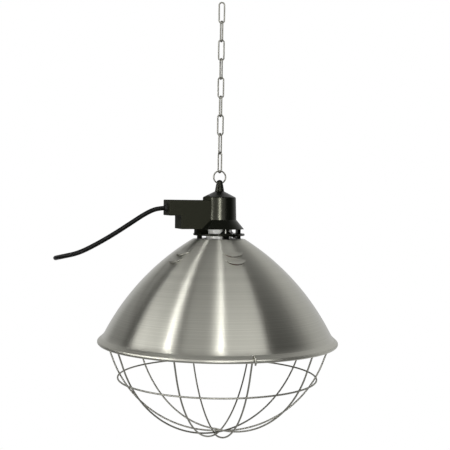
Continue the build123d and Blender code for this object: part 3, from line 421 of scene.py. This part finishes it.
def spun_aluminium():
    material, tree, shader = finish_named("spun_aluminium")
    place = add(tree, "ShaderNodeTexCoord").outputs["Object"]
    parts = add(tree, "ShaderNodeSeparateXYZ", Vector=place)
    x, y = parts.outputs["X"], parts.outputs["Y"]
    flat = add(tree, "ShaderNodeCombineXYZ", X=x, Y=y).outputs[0]
    radius = add(tree, "ShaderNodeVectorMath", {"operation": "LENGTH"}, in_0=flat).outputs["Value"]
    rings = {"noise_dimensions": "1D"}
    fine = add(tree, "ShaderNodeTexNoise", rings, W=radius, Scale=per_mm(LINE_MM), Detail=3.0)
    broad = add(tree, "ShaderNodeTexNoise", rings, W=radius, Scale=per_mm(RING_MM), Detail=2.0)
    lines = add(
        tree, "ShaderNodeMix", MIX_VALUES, in_0=BROAD_SHARE,
        in_2=fine.outputs["Fac"], in_3=broad.outputs["Fac"],
    )
    line_range = {"Value": lines.outputs[0], "From_Min": NOISE_LOW, "From_Max": NOISE_HIGH}
    tone = add(tree, "ShaderNodeMapRange", **line_range).outputs[0]
    dark, pale = linear("#b2b1a7"), linear("#c2c1b7")
    colour = add(tree, "ShaderNodeMix", MIX_COLOURS, in_0=tone, in_6=dark, in_7=pale)
    rough = add(tree, "ShaderNodeMapRange", **line_range, To_Min=0.34, To_Max=0.4)
    angle = add(tree, "ShaderNodeMath", {"operation": "ARCTAN2"}, in_0=y, in_1=x).outputs[0]
    arc = add(tree, "ShaderNodeMath", MULTIPLY, in_0=angle, in_1=DENT_RADIUS).outputs[0]
    unrolled = add(tree, "ShaderNodeCombineXYZ", X=radius, Y=arc).outputs[0]
    uneven = add(tree, "ShaderNodeTexNoise", Vector=unrolled, Scale=per_mm(DENT_MM), Detail=1.0)
    dents = add(tree, "ShaderNodeBump", Strength=1.0, Distance=DENT_DEPTH, Height=uneven.outputs["Fac"])
    tangent = add(tree, "ShaderNodeTangent", {"direction_type": "RADIAL", "axis": "Z"})
    drawn = add(
        tree, "ShaderNodeMapRange", Value=radius, From_Min=BEAD_INSIDE, From_Max=BEAD_INSIDE + BEAD_FADE,
        To_Min=1.0, To_Max=0.3,
    )
    feed(
        tree, shader, Base_Color=colour.outputs[2], Metallic=1.0, Roughness=rough.outputs[0],
        Normal=dents.outputs[0], Tangent=tangent.outputs[0], Anisotropic=drawn.outputs[0],
        Anisotropic_Rotation=QUARTER_TURN,
    )
    return material


shade_finish = spun_aluminium()
print("spun aluminium of", len(shade_finish.node_tree.nodes), "shader nodes")

# %% [markdown]
# The cap with its box, the box's cover and the vent ring are moulded in hard black plastic. The mould is
# polished where it is round and spark grained on the flat box, so the cap shows clear highlights and the
# box an even, duller black. The box's black is also a little paler than the cap's, which is painted sheen.
# Two materials on one mesh would need its faces sorted, so the place on the piece decides instead. The grain
# is drawn coarser than a real one, so that it shows. A bevel node softens the edges, in the shading alone.

# %% Black moulding
BOX_START, BOX_HALF = -18.2 * MM, 17.6 * MM
GRAIN_MM, GRAIN_DEPTH = 0.9, 0.08 * MM
EDGE_RADIUS = 0.6 * MM
LESS_THAN = {"operation": "LESS_THAN"}


def black_moulding():
    material, tree, shader = finish_named("black_moulding")
    place = add(tree, "ShaderNodeTexCoord").outputs["Object"]
    parts = add(tree, "ShaderNodeSeparateXYZ", Vector=place)
    on_left = add(tree, "ShaderNodeMath", LESS_THAN, in_0=parts.outputs["X"], in_1=BOX_START).outputs[0]
    off_middle = add(tree, "ShaderNodeMath", {"operation": "ABSOLUTE"}, in_0=parts.outputs["Y"]).outputs[0]
    in_width = add(tree, "ShaderNodeMath", LESS_THAN, in_0=off_middle, in_1=BOX_HALF).outputs[0]
    grained = add(tree, "ShaderNodeMath", MULTIPLY, in_0=on_left, in_1=in_width).outputs[0]
    # The grained box's black is paler than the polished cap's: painted sheen, standing in for light off its
    # grain.
    polished_black, grained_black_painted_sheen = linear("#040503"), linear("#0a0b05")
    colour = add(tree, "ShaderNodeMix", MIX_COLOURS, in_0=grained, in_6=polished_black, in_7=grained_black_painted_sheen)
    rough = add(tree, "ShaderNodeMapRange", Value=grained, To_Min=0.27, To_Max=0.64)
    sheen = add(tree, "ShaderNodeMapRange", Value=grained, To_Min=0.2, To_Max=0.13)
    grain = add(tree, "ShaderNodeTexNoise", Vector=place, Scale=per_mm(GRAIN_MM), Detail=2.0)
    depth = add(tree, "ShaderNodeMath", MULTIPLY, in_0=grain.outputs["Fac"], in_1=grained).outputs[0]
    soft_edge = add(tree, "ShaderNodeBevel", Radius=EDGE_RADIUS).outputs[0]
    bumps = add(
        tree, "ShaderNodeBump", Strength=0.6, Distance=GRAIN_DEPTH, Height=depth, Normal=soft_edge
    )
    feed(
        tree, shader, Base_Color=colour.outputs[2], Roughness=rough.outputs[0], Normal=bumps.outputs[0],
        Specular_IOR_Level=sheen.outputs[0], Specular_Tint=linear("#ffffe7"),
    )
    return material


cap_finish = black_moulding()
print("black moulding of", len(cap_finish.node_tree.nodes), "shader nodes")

# %% [markdown]
# The bulb is hard glass with a ruby stain, which lets the heat through and holds the glare back. It could be
# see-through, but so deep a stain shows little of the inside, so only the surface is drawn. Its face is an
# even deep red. The bowl above it is mirrored on the inside, so the red there is a metal's. A clear coat over
# both is the gloss of the glass. The height on the bulb decides between face and bowl.

# %% Ruby glass
MIRROR_Z, MIRROR_EDGE = -462 * MM, 1 * MM


def ruby_glass():
    material, tree, shader = finish_named("ruby_glass")
    place = add(tree, "ShaderNodeTexCoord").outputs["Object"]
    height = add(tree, "ShaderNodeSeparateXYZ", Vector=place).outputs["Z"]
    low_edge, high_edge = MIRROR_Z - MIRROR_EDGE, MIRROR_Z + MIRROR_EDGE
    mirrored = add(
        tree, "ShaderNodeMapRange", Value=height, From_Min=low_edge, From_Max=high_edge
    ).outputs[0]
    face_red, bowl_red = linear("#6e0c08"), linear("#8f3a30")
    colour = add(tree, "ShaderNodeMix", MIX_COLOURS, in_0=mirrored, in_6=face_red, in_7=bowl_red)
    metal = add(tree, "ShaderNodeMapRange", Value=mirrored, To_Min=0.0, To_Max=0.9)
    rough = add(tree, "ShaderNodeMapRange", Value=mirrored, To_Min=0.3, To_Max=0.18)
    feed(
        tree, shader, Base_Color=colour.outputs[2], Metallic=metal.outputs[0], Roughness=rough.outputs[0],
        Coat_Weight=1.0, Coat_Roughness=0.04,
    )
    return material


bulb_finish = ruby_glass()
print("ruby glass of", len(bulb_finish.node_tree.nodes), "shader nodes")

# %% [markdown]
# The gland and the plug are moulded rubber and the tie is a woven strap. All three scatter light on a fine
# uneven surface, so one function makes them, from the size and depth of the grain, which is drawn coarser
# than a real one so that it shows. The other finishes are even at the size of this picture: a colour, a
# roughness and whether it is metal say nearly all that shows.

# %% Rubber and plain finishes
def moulded_rubber(name, colour, grain_mm, depth_mm):
    material, tree, shader = finish_named(name)
    place = add(tree, "ShaderNodeTexCoord").outputs["Object"]
    grain = add(tree, "ShaderNodeTexNoise", Vector=place, Scale=per_mm(grain_mm), Detail=2.0).outputs["Fac"]
    bumps = add(tree, "ShaderNodeBump", Strength=0.7, Distance=depth_mm * MM, Height=grain)
    rough = add(tree, "ShaderNodeMapRange", Value=grain, To_Min=0.45, To_Max=0.65)
    feed(
        tree, shader, Base_Color=linear(colour), Roughness=rough.outputs[0], Normal=bumps.outputs[0],
        Specular_IOR_Level=0.3,
    )
    return material


def plain(name, colour, metallic, roughness, specular=0.5):
    material, tree, shader = finish_named(name)
    feed(
        tree, shader, Base_Color=linear(colour), Metallic=metallic, Roughness=roughness,
        Specular_IOR_Level=specular,
    )
    return material


FINISHES = {
    # Zinc on bent wire: grey, and dulled by handling, so lights spread along it
    "chain_steel": plain("bright_zinc_chain", "#8f8e86", 1, 0.48),
    "black_moulding": cap_finish,
    # Zinc plate on the screws, the nut and the clamp ring: paler and brighter than the chain
    "zinc_screw": plain("zinc_screw", "#b5b4ac", 1, 0.3),
    "gland_rubber": moulded_rubber("gland_rubber", "#050604", 0.6, 0.05),
    # Moulded pale plastic of the terminal block and the cord clamp: half matt
    "pale_plastic": plain("pale_plastic", "#d8d6cc", 0, 0.5),
    # Glazed porcelain of the holder: warm white with a wet gloss
    "porcelain": plain("white_glazed_porcelain", "#fbfaf4", 0, 0.15),
    # Drawn brass of the holder's contacts and the terminals: yellow and half bright
    "brass": plain("drawn_brass", "#b3924f", 1, 0.3),
    # Sleeves of the cores: smooth extruded plastic in the colours of mains wiring
    "core_sleeve": plain("brown_sleeve", "#5a3a22", 0, 0.4),
    "live_sleeve": plain("live_sleeve", "#5a3a22", 0, 0.4),
    "neutral_sleeve": plain("neutral_sleeve", "#2a4c94", 0, 0.4),
    "earth_sleeve": plain("earth_sleeve", "#6f9a2c", 0, 0.4),
    "shade_aluminium": shade_finish,
    # Rolled metal of the bulb's cap and tip: as bright as the screws
    "bulb_metal": plain("bulb_cap_metal", "#b5b4ac", 1, 0.3),
    # Black glass between the bulb's cap and its tip: smooth and glossy
    "bulb_insulation": plain("black_glass", "#0c0c10", 0, 0.08),
    "ruby_glass": bulb_finish,
    # Drawn tungsten of the filament: a plain grey metal
    "filament_wire": plain("tungsten", "#777570", 1, 0.4),
    # Zinc on the guard's wire: paler than the chain, and as dull
    "guard_wire": plain("bright_zinc_wire", "#a9a89f", 1, 0.5),
    # Extruded black rubber of the cord: deep black with one soft line of light
    "cord_rubber": plain("black_cord", "#030302", 0, 0.42, 0.2),
    "tie_strap": moulded_rubber("woven_tie_strap", "#1c1d18", 0.8, 0.2),
    "plug_rubber": moulded_rubber("plug_rubber", "#0a0b08", 0.6, 0.06),
    # Nickel plate of the plug's pins and clips: the brightest metal here
    "plug_metal": plain("nickel_plate", "#c9c6bb", 1, 0.2),
}
slot_of = {p["node"]: p["material_slot"] for p in frame["record"]["subparts"]}
for name, node in nodes.items():
    node.data.materials.clear()
    node.data.materials.append(FINISHES[slot_of[name]])
mains_cord.data.materials.append(FINISHES["cord_rubber"])
print(len(FINISHES), "finishes on", len(nodes), "nodes")

# %% [markdown]
# Wires are round and smooth, so they are built again along their centre lines: the links of the chain, the
# ring, and the arches and rings of the guard. They could be bevelled curves, as the cord is, but one
# Geometry Nodes tree gives them all the same section. It sweeps a circle along a path of edges. The path
# carries a value called swell, which thickens the wire where it was welded.

# %% Wire tree
wire_tree = bpy.data.node_groups.new("wire_along_path", "GeometryNodeTree")
wire_tree.interface.new_socket("Path", in_out="INPUT", socket_type="NodeSocketGeometry")
wire_tree.interface.new_socket("Radius", in_out="INPUT", socket_type="NodeSocketFloat")
wire_tree.interface.new_socket("Sides", in_out="INPUT", socket_type="NodeSocketInt")
wire_tree.interface.new_socket("Finish", in_out="INPUT", socket_type="NodeSocketMaterial")
wire_tree.interface.new_socket("Wire", in_out="OUTPUT", socket_type="NodeSocketGeometry")
given = add(wire_tree, "NodeGroupInput").outputs
path_curve = add(wire_tree, "GeometryNodeMeshToCurve", Mesh=given["Path"]).outputs[0]
swell = add(wire_tree, "GeometryNodeInputNamedAttribute", {"data_type": "FLOAT"}, Name="swell")
welded = swell.outputs["Attribute"]
thick = add(wire_tree, "GeometryNodeSetCurveRadius", Curve=path_curve, Radius=welded).outputs[0]
section = add(
    wire_tree, "GeometryNodeCurvePrimitiveCircle", Resolution=given["Sides"], Radius=given["Radius"]
).outputs[0]
tube = add(wire_tree, "GeometryNodeCurveToMesh", Curve=thick, Profile_Curve=section, Fill_Caps=True)
rounded = add(wire_tree, "GeometryNodeSetShadeSmooth", Geometry=tube.outputs[0])
single = add(wire_tree, "GeometryNodeRealizeInstances", Geometry=rounded.outputs[0])
painted = add(wire_tree, "GeometryNodeSetMaterial", Geometry=single.outputs[0], Material=given["Finish"])
add(wire_tree, "NodeGroupOutput", Wire=painted.outputs[0])
print("wire tree of", len(wire_tree.nodes), "nodes")

# %% [markdown]
# One function turns paths into a finished wire. It sets the tree's inputs by their identifiers, the finish of
# its slot among them, takes the result as a plain mesh and removes the modifier, so that the mesh is final
# before the piece is given its body, and the CAD nodes that it stands for are hidden. Paths are in
# millimetres.

# %% Wire pieces
WIRE_SIDES = 16


def wire_piece(name, body, slot, paths, diameter, replaced):
    """One wire object from paths, each a list of points, whether it closes, and its swelling per point."""
    points, edges, swells = [], [], []
    for path, closed, swelling in paths:
        first, count = len(points), len(path)
        points += [Vector(p) * MM for p in path]
        edges += [(first + i, first + i + 1) for i in range(count - 1)]
        if closed:
            edges.append((first + count - 1, first))
        swells += swelling or [1.0] * count
    mesh = bpy.data.meshes.new(name)
    mesh.from_pydata(points, edges, [])
    mesh.attributes.new("swell", "FLOAT", "POINT").data.foreach_set("value", swells)
    piece = bpy.data.objects.new(name, mesh)
    bpy.context.scene.collection.objects.link(piece)
    maker = piece.modifiers.new("wire", "NODES")
    maker.node_group = wire_tree
    wanted = {"Radius": diameter / 2 * MM, "Sides": WIRE_SIDES, "Finish": FINISHES[slot]}
    for socket in wire_tree.interface.items_tree:
        if socket.name in wanted:
            maker[socket.identifier] = wanted[socket.name]
    graph = bpy.context.evaluated_depsgraph_get()
    made = bpy.data.meshes.new_from_object(piece.evaluated_get(graph))
    piece.modifiers.remove(maker)
    piece.data = made
    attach(piece, body)
    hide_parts(*replaced)
    return piece


def turned(point, degrees):
    a = math.radians(degrees)
    x, y, z = point
    return (x * math.cos(a) - y * math.sin(a), x * math.sin(a) + y * math.cos(a), z)


def on_circle(centre, radius, angle):
    return (centre[0] + radius * math.cos(angle), centre[1] + radius * math.sin(angle))


# %% [markdown]
# A link is bent from one length of wire and butt welded in the middle of a leg, where it is a little
# thicker. Its path is two half circles joined by straight legs. The links could be one repeated mesh, but
# each swings on a body of its own, so each is a piece. It hangs in the one above it, turned about the
# chain's line. The last two have turns of their own, as in the picture.

# %% Chain
LINK_WIRE, LINK_PITCH, LINK_WIDTH, LINK_GAP = 2.2, 27.4, 9.9, 0.3
ODD_TURN, EVEN_TURN, EIGHTH_TURN, LAST_TURN = -18.0, 93.0, 45.0, -72.0
LINKS = 9
LINK_WELD = 1.16
BOW_POINTS, LEG_POINTS = 14, 9

bow = (LINK_WIDTH - LINK_WIRE) / 2
bow_high = LINK_WIRE / 2 - bow
bow_low = -LINK_PITCH - LINK_GAP - LINK_WIRE / 2 + bow
outline = []
for i in range(BOW_POINTS + 1):
    outline.append(on_circle((0, bow_high), bow, math.pi * i / BOW_POINTS))
for i in range(1, LEG_POINTS):
    outline.append((-bow, bow_high + (bow_low - bow_high) * i / LEG_POINTS))
for i in range(BOW_POINTS + 1):
    outline.append(on_circle((0, bow_low), bow, math.pi + math.pi * i / BOW_POINTS))
for i in range(1, LEG_POINTS):
    outline.append((bow, bow_low + (bow_high - bow_low) * i / LEG_POINTS))
lumps = [1.0] * len(outline)
lumps[-(LEG_POINTS // 2)] = LINK_WELD

link_turns = [ODD_TURN if number % 2 else EVEN_TURN for number in range(1, LINKS + 1)]
link_turns[-2:] = [EIGHTH_TURN, LAST_TURN]
for number, turn in enumerate(link_turns, 1):
    path = [turned((x, 0, z + (1 - number) * LINK_PITCH), turn) for x, z in outline]
    link_wire = [(path, True, lumps)]
    link_node = [f"chain_link_{number}"]
    wire_piece(f"chain_wire_{number}", f"link_{number}", "chain_steel", link_wire, LINK_WIRE, link_node)
print("chain of", LINKS, "links,", len(outline), "points each")

# %% [markdown]
# The ring joins the last link to the lug of the cap. It is a plain circle of the same wire, so the function
# that made the links makes it too.

# %% Ring
RING_RADIUS, RING_MIDDLE_Z, RING_WIRE = 9.15, -254.7, 2.2
RING_STEPS = 56

ring_path = []
for i in range(RING_STEPS):
    x, z = on_circle((0, RING_MIDDLE_Z), RING_RADIUS, 2 * math.pi * i / RING_STEPS)
    ring_path.append((x, 0, z))
wire_piece("ring_wire", "ring", "chain_steel", [(ring_path, True, None)], RING_WIRE, ["hanging_ring"])
print("ring of", len(ring_path), "points")

# %% [markdown]
# The guard's five arches lie on each other where they cross at the bottom, so each one dips by a wire more
# than the one before it, and the first dips most. An arch is a circle's arc from the shoulder down, found
# from three places on it, and mirrored. The first arch also curls over the bead at both ends.

# %% Arches of the guard
GUARD_WIRE, GUARD_INSET, GUARD_RISE, ARCHES, ARCH_GAP, GUARD_TURN = 2.4, 6.8, 30.8, 5, 0.05, -2.5
BEAD = (172.0, -493.6)
HOOK_RADIUS, HOOK_END = 6.6, math.radians(-40)
# The fourth arch lies on the guard's own arc, the others higher or lower by whole wires
MIDDLE_PLACE = 4
HOOK_POINTS, ARCH_POINTS = 14, 70


def three_point_arc(a, b, c, count):
    """Points of the circle through three places in a plane, from the first to the last."""
    d = 2 * (a[0] * (b[1] - c[1]) + b[0] * (c[1] - a[1]) + c[0] * (a[1] - b[1]))
    squares = [p[0] ** 2 + p[1] ** 2 for p in (a, b, c)]
    x = (squares[0] * (b[1] - c[1]) + squares[1] * (c[1] - a[1]) + squares[2] * (a[1] - b[1])) / d
    y = (squares[0] * (c[0] - b[0]) + squares[1] * (a[0] - c[0]) + squares[2] * (b[0] - a[0])) / d
    first = math.atan2(a[1] - y, a[0] - x)
    last = math.atan2(c[1] - y, c[0] - x)
    radius = math.dist((x, y), a)
    return [on_circle((x, y), radius, first + (last - first) * i / count) for i in range(count + 1)]


def mirrored_half(half):
    return [(-x, z) for x, z in reversed(half)]


guard_arc = BEAD[0] - GUARD_INSET
guard_middle = (0, BEAD[1] + GUARD_RISE)
bead_far = math.hypot(BEAD[0], GUARD_RISE)
lean = math.atan2(-GUARD_RISE, BEAD[0]) - math.acos((guard_arc + HOOK_RADIUS) / bead_far)
shoulder = on_circle(guard_middle, guard_arc, lean)
between = on_circle(guard_middle, guard_arc, (lean - math.pi / 2) / 2)
hook_start = on_circle(BEAD, -HOOK_RADIUS, lean)
hook = []
for i in range(HOOK_POINTS):
    hook.append(on_circle(BEAD, HOOK_RADIUS, HOOK_END + (math.pi + lean - HOOK_END) * i / HOOK_POINTS))

first_turn = 90 + GUARD_TURN
guard_paths = []
for number in range(1, ARCHES + 1):
    place_in_pile = number if number > 1 else ARCHES + 1
    lift = (MIDDLE_PLACE - place_in_pile) * (GUARD_WIRE + ARCH_GAP)
    lowest = (0, guard_middle[1] - guard_arc + lift)
    half = [hook_start] + three_point_arc(shoulder, between, lowest, ARCH_POINTS)
    flat = half + mirrored_half(half[:-1])
    if number == 1:
        flat = hook + flat + mirrored_half(hook)
    turn = first_turn + 180 / ARCHES * (number - 1)
    guard_paths.append(([turned((x, 0, z), turn) for x, z in flat], False, None))
print("guard of", len(guard_paths), "arches")

# %% [markdown]
# One ring is welded inside the arches under the rim and one outside them halfway down. Their sizes are
# measured on the CAD rings, so that the two agree. They are a little thicker at each weld. All the guard's
# wires are one piece, because they move together.

# %% Rings of the guard
RING_POINTS = 220
RING_WELD = 1.12

weld_every = RING_POINTS // (2 * ARCHES)
for ring_name in ("guard_top_ring", "guard_middle_ring"):
    spots = [nodes[ring_name].matrix_world @ v.co for v in nodes[ring_name].data.vertices]
    ring_z = (min(p.z for p in spots) + max(p.z for p in spots)) / 2 / MM
    ring_r = max(p.x for p in spots) / MM - GUARD_WIRE / 2
    path, lumps = [], []
    for i in range(RING_POINTS):
        x, y = on_circle((0, 0), ring_r, 2 * math.pi * i / RING_POINTS)
        path.append(turned((x, y, ring_z), first_turn))
        lumps.append(RING_WELD if i % weld_every == 0 else 1.0)
    guard_paths.append((path, True, lumps))
    print(ring_name, "has a radius of", round(ring_r, 1), "mm")
guard_nodes = list(frame["record"]["behaviour"]["bodies"]["guard"])
wire_piece("guard_wires", "guard", "guard_wire", guard_paths, GUARD_WIRE, guard_nodes)

# %% [markdown]

# %% [markdown]
# Colours are shown as they were chosen, without a film look.

# %% Colour view
scene = bpy.context.scene
scene.view_settings.view_transform = "Standard"
